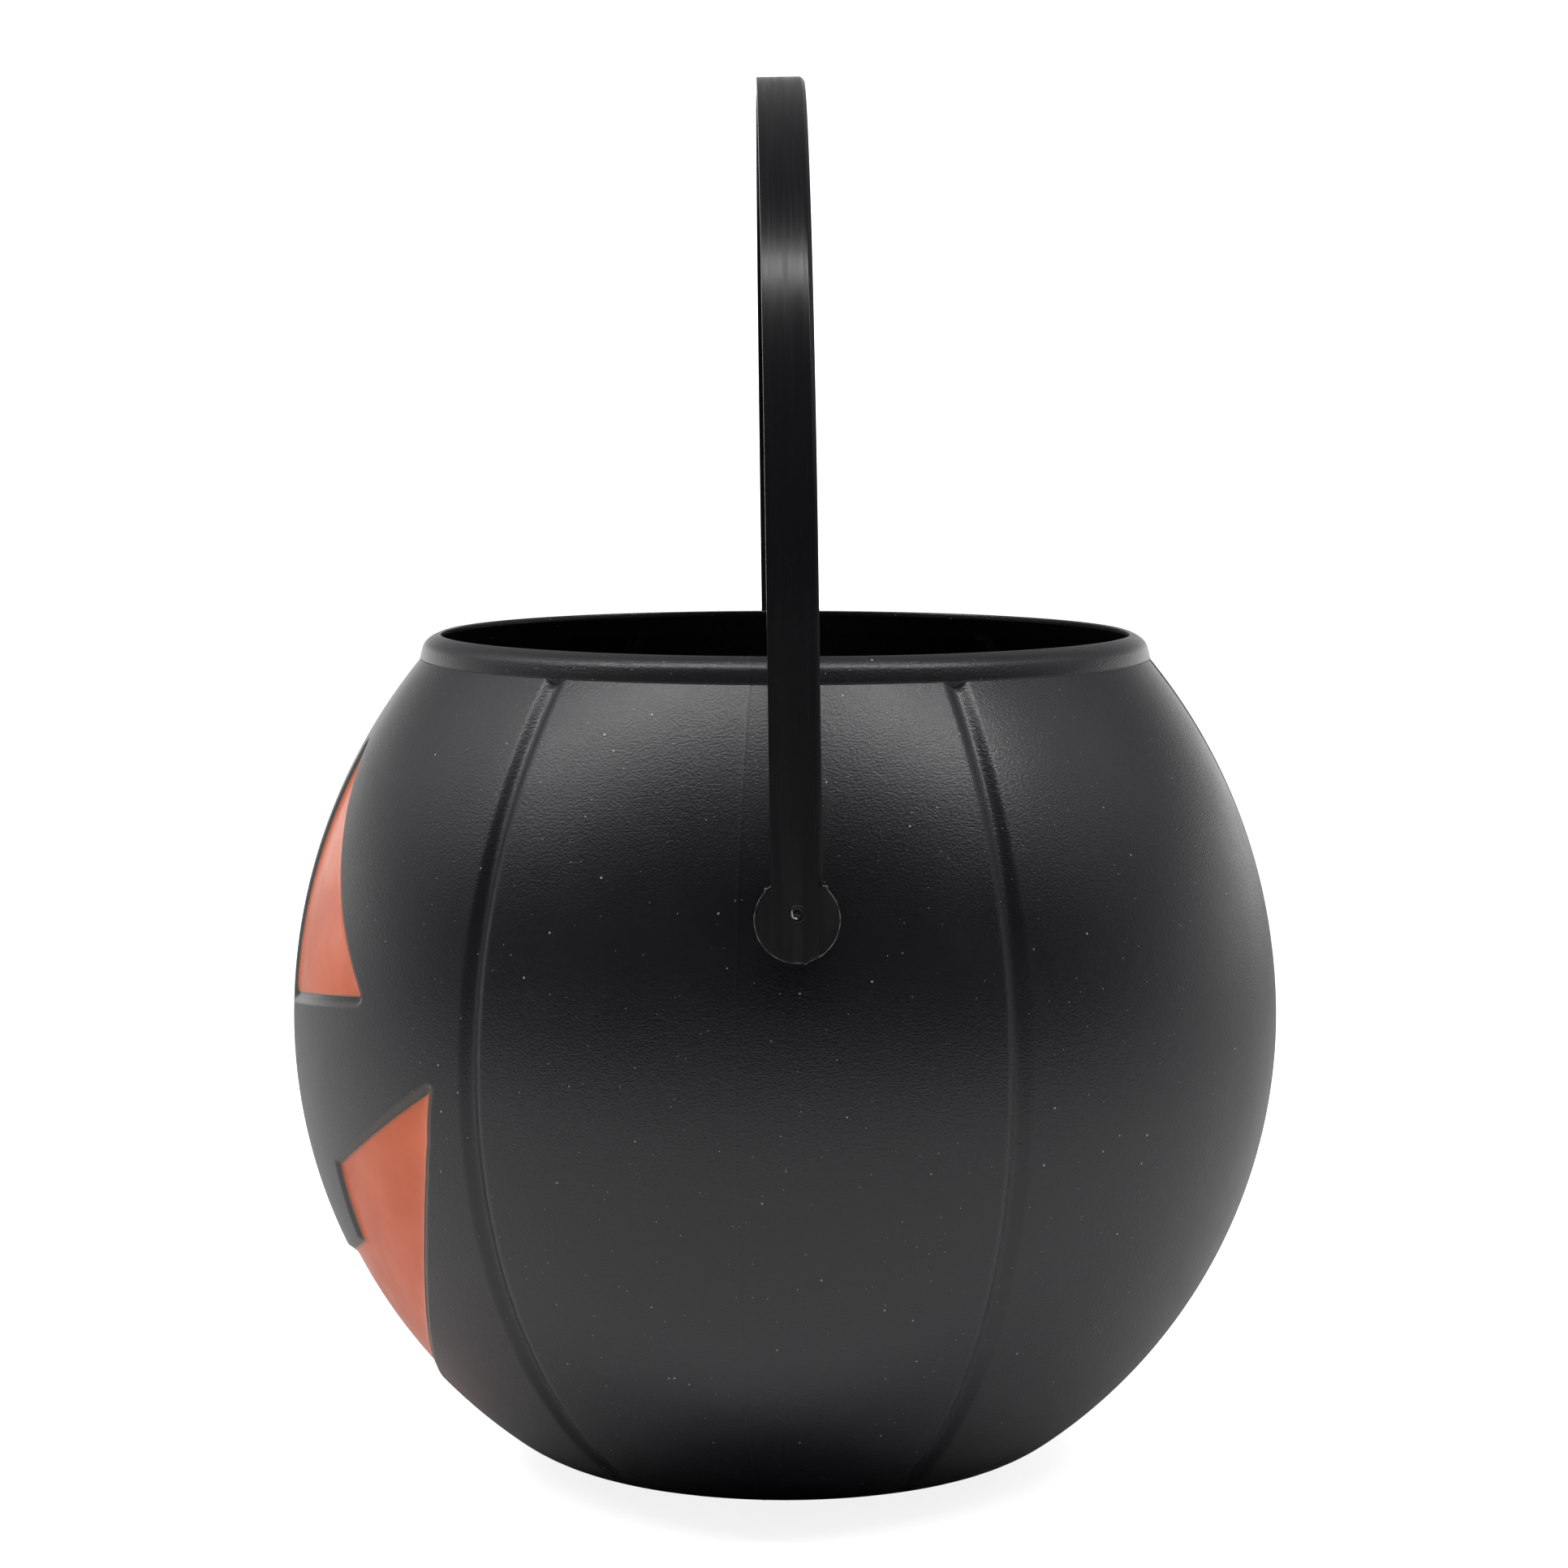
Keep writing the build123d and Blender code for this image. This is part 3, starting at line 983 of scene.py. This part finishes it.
    def lift(self, points: np.ndarray, outside: np.ndarray) -> np.ndarray:
        """Work out how far each vertex stands proud of the plain shell.

        Args:
            points: Vertices of the plain shell.
            outside: Whether each one is on the outer skin.

        Returns:
            The lifts, negative in the grooves and the recesses.
        """
        angle = np.arctan2(points[:, 1], points[:, 0])
        radius = np.hypot(points[:, 0], points[:, 1])
        depth = self.depth_in_face(points)
        slant = np.sqrt(np.maximum(1 - (points[:, 0] / self.body_radius) ** 2, self.flattest))
        depth = np.where(depth < 0, depth / slant, depth)
        pushed = ease(-self.recess_shoulder, self.recess_foot, depth) * self.recess_depth
        pushed = np.maximum(pushed, self.grooved(angle, radius, points[:, 2]) * self.groove_depth)
        seam = self.seam_height * np.exp(-((points[:, 1] / self.seam_reach) ** 2))
        seam = seam * np.clip(points[:, 2] / self.seam_start, 0, 1)
        return np.where(outside, seam, 0) - pushed

    def pinched(self, points: np.ndarray) -> np.ndarray:
        """Give the height of the pinch-off line under the base.

        Args:
            points: Vertices of the plain shell.

        Returns:
            The heights, 0 away from the line.
        """
        ridge = np.exp(-((2 * points[:, 1] / self.pinch_width) ** 2))
        half = self.pinch_length / 2
        ends = 1 - ease(half - self.pinch_width, half, np.abs(points[:, 0]))
        return self.pinch_height * ridge * ends * (points[:, 2] < self.push_up_rise + self.wall / 2)

    def build(self) -> None:
        """Make the shell's mesh, press its forms into it and dress it."""
        piece, traits = self.blank()
        mesh = piece.data
        points = np.zeros(len(mesh.vertices) * 3)
        mesh.vertices.foreach_get("co", points)
        points = points.reshape(-1, 3)
        height = points[:, 2].copy()
        out, up, outside = traits.T
        skin = outside > 0.5
        radius = np.hypot(points[:, 0], points[:, 1])
        on_wall = (outside > 0.99) & (out > 0.05) & (height > self.corner_height) & (height <= self.crease)
        exact = np.where(on_wall, self.radius_at(height), radius)
        lift = self.lift(points, skin)
        turn = points[:, :2] / np.maximum(radius, 1e-9)[:, None]
        wave = np.sin(self.rim_waves * np.arctan2(points[:, 1], points[:, 0]) + self.rim_phase)
        wave *= self.rim_wave * ease(self.rim_height - self.rim_wave_reach, self.rim_height, height)
        pressed = exact + out * lift + wave
        below_band = on_wall & (height > self.crease - self.band_guard)
        pressed = np.where(below_band, np.maximum(pressed, self.crease_radius), pressed)
        points[:, :2] = turn * pressed[:, None]
        points[:, 2] += up * lift - self.pinched(points) * skin * (out == 0)
        depth = self.depth_in_face(points) * skin
        # Pale band on the recess shoulders, just outside the face's outlines: painted sheen of the
        # shoulders, with a little paint mist.
        mist = ease(-self.recess_shoulder, -self.sheen_and_mist_reach, depth) * (1 - ease(0, self.sheen_and_mist_reach, depth))
        mesh.vertices.foreach_set("co", points.ravel())
        set_attribute(piece, ShellFinish.edge, mist * (depth != 0))
        mesh.update()
        mount(piece, Body.PAIL, self.finish.material(), ["pail_body"])


@dataclass
class FacePaint:
    """Paint on the floors of the face's recesses."""

    fill_inside: ClassVar[int] = 1
    weld: ClassVar[float] = 1e-7
    shell: PailShell
    mask: FaceDrawing
    film: float = 0.12 * MM
    sink: float = 0.30 * MM
    margin: float = 0.35 * MM
    pitch: float = 1.6 * MM
    fade: float = 1.0 * MM
    ring_steps: tuple[float, ...] = (0.25 * MM, 0.6 * MM, 1.1 * MM)
    ring_kept: float = 0.8
    finish: PaintFinish = PaintFinish()

    def patch(self, which: FacePatch, outline: np.ndarray) -> bpy.types.Object:
        """Make the film of one patch.

        Args:
            which: The patch.
            outline: Its outline as seen from the front.

        Returns:
            The film's mesh object.
        """
        outline = resampled(shrunk(outline, self.margin), self.pitch / 2)
        rings = [(shrunk(outline, step), step * self.ring_kept) for step in self.ring_steps]
        grid = np.meshgrid(*(np.arange(low, high, self.pitch)
                             for low, high in zip(outline.min(axis=0), outline.max(axis=0))))
        inner = np.stack([places.ravel() for places in grid], axis=1)
        rings.append((inner, self.ring_steps[-1] + self.pitch / 2))
        kept = [ring[inside_depth(outline, ring) > least] for ring, least in rings]
        flat = np.concatenate([outline, *kept])
        result = geometry.delaunay_2d_cdt([Vector(point) for point in flat], [],
                                          [list(range(len(outline)))], self.fill_inside, self.weld)
        plane = np.array([tuple(point) for point in result[0]])
        points = self.shell.floor_points(plane, self.film)
        name = which.value.replace("paint_", "") + "_film"
        piece = make_mesh(name, points, [list(face) for face in result[2]])
        set_attribute(piece, PaintFinish.cover, inside_depth(outline, plane) / self.fade)
        thick = piece.modifiers.new("film", "SOLIDIFY")
        thick.thickness = self.sink
        thick.offset = -1
        return piece

    def build(self) -> None:
        """Make the film of every patch and dress it."""
        finish = self.finish.material()
        for which, outline in self.mask.outlines().items():
            mount(self.patch(which, outline), Body.PAIL, finish, [which.value])


@dataclass
class StrapBail:
    """Strap bail in one moulding: two legs and an arch, end discs, flash, gate marks and snap pegs.

    The gate's profile gives heights above the disc and radii. The nib's path gives places across and
    up from the gate's middle, and shares of the nib's radius.
    """

    shell: PailShell
    pivot_height: float = 129.4 * MM
    hinge_turn: float = 5.8
    hinge_offset: float = 1.2 * MM
    lean: float = 0.8
    strap_width: float = 10.0 * MM
    thickness: float = 3.0 * MM
    bevel: float = 0.8 * MM
    edge_round: float = 0.14 * MM
    round_share: float = 0.3
    bevel_share: float = 0.45
    disc_radius: float = 8.2 * MM
    disc_drop: float = 0.35 * MM
    disc_bevel: float = 0.12 * MM
    disc_foot: float = 0.02
    neck_bevel: float = 0.30 * MM
    neck_rises: Point2 = (0.15 * MM, 0.8 * MM)
    disc_rows: int = 40
    leg_rows: int = 26
    arch_rows: int = 98
    flash_radius: float = 0.10 * MM
    flash_depth: float = 0.12 * MM
    flash_overlap: float = 0.02
    flash_rows: int = 150
    flash_points: int = 7
    uneven: float = 0.003
    nubs: tuple[float, ...] = (2.34, 4.89, 7.13)
    nub_height: float = 0.45 * MM
    nub_width: float = 0.04
    gate_rise: float = 1.2 * MM
    gate_height: float = 0.3 * MM
    gate_profile: tuple[Point2, ...] = ((-0.10, 1.70), (0.00, 1.70), (0.12, 1.60), (0.18, 1.35),
                                        (0.02, 1.10), (0.02, 0.50), (0.25, 0.35), (0.30, 0.15))
    gate_points: int = 28
    nib_radius: float = 0.19 * MM
    nib_height: float = 0.09 * MM
    nib_path: tuple[tuple[float, float, float], ...] = (
        (-1.02, 0.80, 0.60), (-1.00, 0.20, 0.88), (-0.90, -0.45, 1.00),
        (-0.75, -0.72, 0.88), (-0.20, -0.80, 1.00), (0.05, -0.95, 0.60))
    nib_points: int = 8
    peg_radius: float = 3.42 * MM
    peg_root: float = 0.2 * MM
    peg_points: int = 48
    barb_play: float = 1.2 * MM
    barb_lip: float = 0.9 * MM
    barb_length: float = 4.5 * MM
    barb_slot: float = 2.0 * MM
    barb_round: float = 0.15 * MM
    barb_land: float = 0.6 * MM
    barb_tip: float = 0.3 * MM
    finish: StrapFinish = StrapFinish()
    flash: FlashFinish = FlashFinish()
    # Near-white nib on the gate mark: stress-whitened torn plastic, partly a painted glint on the torn
    # sprue.
    nib_tear_and_glint: FlashFinish = FlashFinish("torn_sprue_and_glint", linear(190, 190, 186))

    def __post_init__(self) -> None:
        """Read the strap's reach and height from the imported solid, in the hinge's own frame."""
        self.place = (Matrix.Rotation(math.radians(self.hinge_turn), 4, "Z")
                      @ Matrix.Translation((0, self.hinge_offset, self.pivot_height))
                      @ Matrix.Rotation(math.radians(self.lean), 4, "X"))
        inverse = self.place.inverted()
        places = [inverse @ vertex.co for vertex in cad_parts["bail"].data.vertices]
        self.outer = max(abs(place.x) for place in places) - self.gate_height
        self.inner = self.outer - self.thickness
        self.arch_centre = max(place.z for place in places) - self.outer

    def loft(self, name: str, *bodies: Rings, capped: bool = True) -> bpy.types.Object:
        """Skin rings of points that are given in the hinge's own frame.

        Args:
            name: Name of the piece.
            bodies: Rings of each body of the piece.
            capped: Whether the ends of a body are filled.

        Returns:
            The mesh object, with its faces turned to the outside.
        """
        points: list[tuple[float, ...]] = []
        faces: list[list[int]] = []
        for rings in bodies:
            skin = grid_faces(len(rings), len(rings[0]), capped)
            faces += [[len(points) + index for index in face] for face in skin]
            points += [tuple(self.place @ spot) for ring in rings for spot in ring]
        piece = make_mesh(name, points, faces)
        work = bmesh.new()
        work.from_mesh(piece.data)
        bmesh.ops.recalc_face_normals(work, faces=work.faces)
        work.to_mesh(piece.data)
        work.free()
        return piece

    def section(self, half: float, bevel: float, drop: float) -> list[Point2]:
        """Draw the strap's section, as height above its inner face and place across.

        Args:
            half: Half-width of the section.
            bevel: Width of the bevels on the outer edges.
            drop: Fall of the outer face from the rear bevel line to the rear edge.

        Returns:
            The points round the section.
        """
        soft, thick = self.edge_round, self.thickness
        cut, step = soft * self.round_share, bevel * self.bevel_share
        kink = min(self.strap_width / 2 - self.bevel, half - bevel)
        return [
            (0.0, -half + soft), (soft, -half), (thick - soft, -half), (thick - cut, -half + cut),
            (thick, -half + soft), (thick, -half + 3 * soft), (thick, -half * 0.5), (thick, 0.0),
            (thick, kink * 0.6), (thick, kink - soft), (thick - cut, kink),
            (thick - drop - step, (kink + half) / 2 if drop else half - step),
            (thick - drop - bevel, half), (soft, half), (0.0, half - soft), (0.0, 0.0),
        ]

    def edge_fall(self, wide: float) -> float:
        """Give the fall of a disc's outer face at its rear edge, by the edge's place across."""
        half = self.strap_width / 2
        return self.disc_drop * max(wide - half, 0) / (self.disc_radius - half)

    def stations(self) -> list[tuple[Vector, Vector, float, float, float]]:
        """Place the sections along the strap, from one disc's foot over the arch to the other's.

        Returns:
            The inner face's middle, its outward direction, and the section's half-width, bevel and
            drop at each place.
        """
        half = self.strap_width / 2
        neck = math.sqrt(self.disc_radius ** 2 - half ** 2)
        side = []
        top = math.asin(neck / self.disc_radius)
        for turn in np.linspace(-math.pi / 2 + self.disc_foot, top, self.disc_rows):
            wide = self.disc_radius * math.cos(turn)
            side.append((self.disc_radius * math.sin(turn), wide, self.disc_bevel, self.edge_fall(wide)))
        side.append((neck + self.neck_rises[0], half, self.neck_bevel, 0.0))
        for rise in np.linspace(neck + self.neck_rises[1], self.arch_centre, self.leg_rows):
            side.append((rise, half, self.bevel, 0.0))
        legs = [[(Vector((end.value * self.inner, 0, rise)), Vector((end.value, 0, 0)), *rest)
                 for rise, *rest in side] for end in End]
        arch = []
        for angle in np.linspace(0, math.pi, self.arch_rows)[1:-1]:
            out = Vector((math.cos(angle), 0, math.sin(angle)))
            arch.append((Vector((0, 0, self.arch_centre)) + out * self.inner, out, half, self.bevel, 0.0))
        return legs[0] + arch + legs[1][::-1]

    def strap(self) -> bpy.types.Object:
        """Sweep the strap with its end discs.

        Returns:
            The mesh object.
        """
        rings, spots, run = [], [], 0.0
        stations = self.stations()
        for index, (middle, out, *form) in enumerate(stations):
            run += (middle - stations[max(index - 1, 0)][0]).length
            section = self.section(*form)
            rings.append([middle + out * rise + Vector((0, across, 0)) for rise, across in section])
            spots += [(rise, across, run) for rise, across in section]
        piece = self.loft("strap_bail", rings)
        set_attribute(piece, StrapFinish.run, spots)
        piece.modifiers.new("facets", "WEIGHTED_NORMAL").keep_sharp = True
        piece.data.set_sharp_from_angle(angle=SHARP_ANGLE)
        return piece

    def turned(self, name: str, profile: Sequence[Point2], end: End, count: int, slot: float = 0.0,
               rise: float = 0.0) -> bpy.types.Object:
        """Turn a profile about the hinge line.

        Args:
            name: Name of the piece.
            profile: Place along the line and radius of each ring.
            end: End of the hinge line.
            count: Points to a ring.
            slot: Width of the slot that splits the piece, 0 for none.
            rise: Height of the piece's axis above the hinge line.

        Returns:
            The mesh object.
        """
        bodies = []
        for half in (1, -1) if slot else (0,):
            rings = []
            for along, radius in profile:
                across = [radius * math.cos(angle) for angle in turns(count)]
                if half:
                    across = [half * max(half * place, slot / 2) for place in across]
                rings.append([Vector((end.value * along, place, rise + radius * math.sin(angle)))
                              for place, angle in zip(across, turns(count))])
            bodies.append(rings)
        piece = self.loft(end.named(name), *bodies)
        set_attribute(piece, StrapFinish.run, [(abs(spot.x) - self.inner, spot.y, spot.z)
                                               for rings in bodies for ring in rings for spot in ring])
        return piece

    def peg(self, end: End) -> bpy.types.Object:
        """Make the split snap peg at one end.

        Args:
            end: End of the hinge line.

        Returns:
            The mesh object.
        """
        inside = float(self.shell.radius_at(np.array(self.pivot_height), self.shell.wall))
        shoulder = inside - self.barb_play
        tip = shoulder - self.barb_length
        thick, thin = self.peg_radius + self.barb_lip, self.peg_radius - self.barb_lip
        profile = [
            (self.inner + self.peg_root, self.peg_radius), (shoulder, self.peg_radius),
            (shoulder, thick - self.barb_round), (shoulder - self.barb_round, thick),
            (shoulder - self.barb_land, thick), (tip + self.barb_tip, thin), (tip, thin - self.barb_tip),
        ]
        piece = self.turned("snap_peg", profile, end, self.peg_points, self.barb_slot)
        piece.data.set_sharp_from_angle(angle=SHARP_ANGLE)
        return piece

    def gate(self, end: End) -> bpy.types.Object:
        """Make the sprue's gate mark on one disc."""
        profile = [(self.outer + height * MM, radius * MM) for height, radius in self.gate_profile]
        return self.turned("gate_mark", profile, end, self.gate_points, rise=self.gate_rise)

    def bead(self, end: End, middle: Vector, aside: Vector, thick: float, count: int) -> list[Vector]:
        """Draw one ring of a thin bead that lies on a disc.

        Args:
            end: End of the hinge line.
            middle: Middle of the ring, for the near end.
            aside: Direction across the bead.
            thick: Radius of the bead.
            count: Points to the ring.

        Returns:
            The points of the ring.
        """
        spots = [middle + thick * (aside * math.cos(bend) + Vector((math.sin(bend), 0, 0)))
                 for bend in turns(count)]
        return [Vector((end.value * spot.x, spot.y, spot.z)) for spot in spots]

    def nib(self, end: End) -> bpy.types.Object:
        """Make the torn nib that the sprue left on one gate mark.

        Args:
            end: End of the hinge line.

        Returns:
            The mesh object.
        """
        rings = []
        centre = Vector((self.outer + self.nib_height, 0, self.gate_rise))
        path = [Vector((0, across, up)) for across, up, _ in self.nib_path]
        for index, (place, (_, _, share)) in enumerate(zip(path, self.nib_path)):
            run = (path[min(index + 1, len(path) - 1)] - path[max(index - 1, 0)]).normalized()
            aside = Vector((0, -run.z, run.y))
            thick = self.nib_radius * share
            rings.append(self.bead(end, centre + place * MM, aside, thick, self.nib_points))
        return self.loft(end.named("gate_nib"), rings)

    def flash_ring(self, end: End) -> bpy.types.Object:
        """Make the torn flash round the edge of one disc.

        Args:
            end: End of the hinge line.

        Returns:
            The mesh object.
        """
        start = math.acos(self.strap_width / 2 / self.disc_radius) + self.flash_overlap
        rings = []
        for angle in np.linspace(math.pi - start, 2 * math.pi + start, self.flash_rows):
            nub = sum(self.nub_height * math.exp(-((angle - place) / self.nub_width) ** 2)
                      for place in self.nubs)
            torn = 1 + self.uneven * math.sin(9 * angle) * math.sin(23 * angle + 1)
            thick = self.flash_radius * (1 + 0.5 * math.sin(17 * angle) * math.sin(5 * angle)) + nub / 4
            fall = self.flash_depth + self.edge_fall(self.disc_radius * math.cos(angle))
            away = Vector((0, math.cos(angle), math.sin(angle)))
            middle = away * (self.disc_radius * torn + nub) + Vector((self.outer - fall, 0, 0))
            rings.append(self.bead(end, middle, away, thick, self.flash_points))
        return self.loft(end.named("disc_flash"), rings, capped=False)

    def build(self) -> None:
        """Make the bail's pieces and dress them."""
        plastic, torn, tear_and_glint = self.finish.material(), self.flash.material(), self.nib_tear_and_glint.material()
        mount(self.strap(), Body.HANDLE, plastic, ["bail"])
        makers = ((self.peg, plastic), (self.gate, plastic), (self.nib, tear_and_glint), (self.flash_ring, torn))
        for end in End:
            for make, finish in makers:
                mount(make(end), Body.HANDLE, finish)


@dataclass(frozen=True)
class Lamp:
    """One soft box, by its place, its aim, its size and its radiance."""

    name: str
    place: tuple[float, float, float]
    aim: tuple[float, float, float]
    size: tuple[float, float]
    radiance: float

    def build(self) -> None:
        """Hang the soft box, hidden from the camera itself."""
        data = bpy.data.lights.new(self.name, "AREA")
        data.shape = "RECTANGLE"
        data.size, data.size_y = self.size
        data.energy = self.radiance * math.pi * self.size[0] * self.size[1]
        lamp = add_object(self.name, data)
        lamp.location = self.place
        lamp.rotation_mode = "QUATERNION"
        lamp.rotation_quaternion = (Vector(self.aim) - Vector(self.place)).to_track_quat("-Z", "Y")
        lamp.visible_camera = False


@dataclass
class Studio:
    """Light tent with a pale floor, open and dark on the camera's side."""

    camera_distance: float = 950.0 * MM
    camera_bearing: float = 5.2
    camera_height: float = 240.2 * MM
    camera_pitch: float = 5.73
    camera_reach: float = 50.0
    focal_share: float = 5498.0 / 1932.0
    sensor: float = 36.0
    axis_shift: float = 1.35 / 1932.0
    floor_reach: float = 3.0
    floor_drop: float = 0.05 * MM
    floor_points: int = 64
    ambient: float = 0.04
    tent: float = 2.1
    ceiling: float = 0.16
    wall_top: float = -0.10
    ceiling_edge: float = 0.32
    tent_edge: float = -0.95
    open_edge: float = 0.40
    floor: FloorFinish = FloorFinish()
    lamps: tuple[Lamp, ...] = (
        Lamp("left_fill", (-0.10, -1.00, 0.85), (0, 0, 0.15), (0.9, 0.6), 1.1),
        Lamp("right_fill", (-0.10, 1.00, 0.85), (0, 0, 0.15), (0.9, 0.6), 0.8),
        Lamp("top_bar", (0.29, -0.10, 1.12), (0, -0.10, 0.15), (2.2, 0.07), 39.0),
    )

    def __post_init__(self) -> None:
        """Work out the level direction from the pail to the camera."""
        bearing = math.radians(self.camera_bearing)
        self.away = Vector((math.cos(bearing), math.sin(bearing), 0))

    def camera(self) -> None:
        """Set the camera at the photograph's place."""
        data = bpy.data.cameras.new("camera")
        data.sensor_width = self.sensor
        data.lens = self.sensor * self.focal_share
        data.shift_x = -self.axis_shift
        data.clip_end = self.camera_reach
        camera = add_object("camera", data)
        pitch = math.radians(self.camera_pitch)
        camera.location = self.away * self.camera_distance + Vector((0, 0, self.camera_height))
        look = -self.away * math.cos(pitch) - Vector((0, 0, math.sin(pitch)))
        camera.rotation_mode = "QUATERNION"
        camera.rotation_quaternion = look.to_track_quat("-Z", "Y")
        bpy.context.scene.camera = camera

    def backdrop(self) -> None:
        """Light the surroundings softly, white to the camera and darker on the camera's side."""
        world = bpy.data.worlds.new("studio")
        bpy.context.scene.world = world
        graph = NodeGraph(world, "Background", "Generated")
        inputs = {0: graph.place, 1: self.away}
        side = graph.add("ShaderNodeVectorMath", inputs, operation="DOT_PRODUCT").outputs["Value"]
        walls = graph.ramp(side, self.tent_edge, self.open_edge, self.tent, self.ambient)
        height = graph.add("ShaderNodeSeparateXYZ", {"Vector": graph.place}).outputs["Z"]
        roof = graph.ramp(height, self.wall_top, self.ceiling_edge, 1.0, self.ceiling)
        tent = graph.math("MULTIPLY", walls, roof)
        graph.feed(Color=WHITE, Strength=graph.math("MAXIMUM", graph.camera_ray(), tent))

    def build(self) -> None:
        """Lay the floor, hang the lamps and set the camera."""
        rim = [(self.floor_reach * math.cos(turn), self.floor_reach * math.sin(turn), -self.floor_drop)
               for turn in turns(self.floor_points)]
        floor = make_mesh("floor", rim, [list(range(self.floor_points))])
        floor.data.materials.append(self.floor.material())
        for lamp in self.lamps:
            lamp.build()
        self.backdrop()
        self.camera()
        LOG.info("studio: %d lamps", len(self.lamps))


def main() -> None:
    """Build the pail piece by piece, then its studio."""
    logging.basicConfig(level=logging.INFO, format="%(name)s: %(message)s")
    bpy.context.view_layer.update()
    bpy.context.scene.view_settings.view_transform = "Standard"
    shell = PailShell(FaceDrawing())
    shell.build()
    mask = FaceDrawing(eye_inner_foot=101.4 * MM, eye_outer_foot=107.4 * MM, grin_half_width=84.5 * MM)
    FacePaint(shell, mask).build()
    StrapBail(shell).build()
    Studio().build()


if __name__ == "__main__":
    main()
